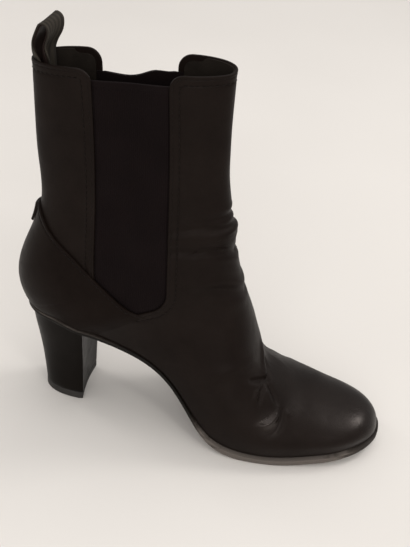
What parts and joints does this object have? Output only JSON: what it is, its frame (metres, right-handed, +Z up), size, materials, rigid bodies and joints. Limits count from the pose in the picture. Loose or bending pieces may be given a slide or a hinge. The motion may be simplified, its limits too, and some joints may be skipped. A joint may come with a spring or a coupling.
{
  "type": "heeled ankle boot",
  "caption": "Slim dark brown leather pull-on ankle boot with elastic side gores, a raised counter, a buckled heel strap on the outer side, a pull loop and a block heel",
  "frame": {"origin": "Middle of the heel's tread, on the floor that the boot stands on", "axes": "+X from the heel to the toe, +Y to the outer (lateral) side, +Z up"},
  "size_m": [0.2421, 0.0821, 0.2543],
  "materials": {
    "upper_leather": "semi-gloss smooth leather, creased",
    "gore_elastic": "matte ribbed elastic",
    "counter_leather": "semi-gloss smooth leather",
    "strap_leather": "semi-gloss smooth leather",
    "gold_metal": "polished gold plating",
    "loop_leather": "matte leather faced with a striped woven tape",
    "sole_leather": "matte trimmed sole edge",
    "heel_leather": "smooth dark leather cover",
    "tread_rubber": "matte rubber",
    "insole_lining": "matte lining leather"
  },
  "bodies": {
    "root": {"upper": "upper_leather", "gore_medial": "gore_elastic", "gore_lateral": "gore_elastic", "counter": "counter_leather", "strap": "strap_leather", "buckle_frame": "gold_metal", "buckle_prong": "gold_metal", "strap_keeper": "gold_metal", "pull_loop": "loop_leather", "outsole": "sole_leather", "heel_block": "heel_leather", "top_piece": "tread_rubber", "insole": "insole_lining"}
  },
  "joints": []
}
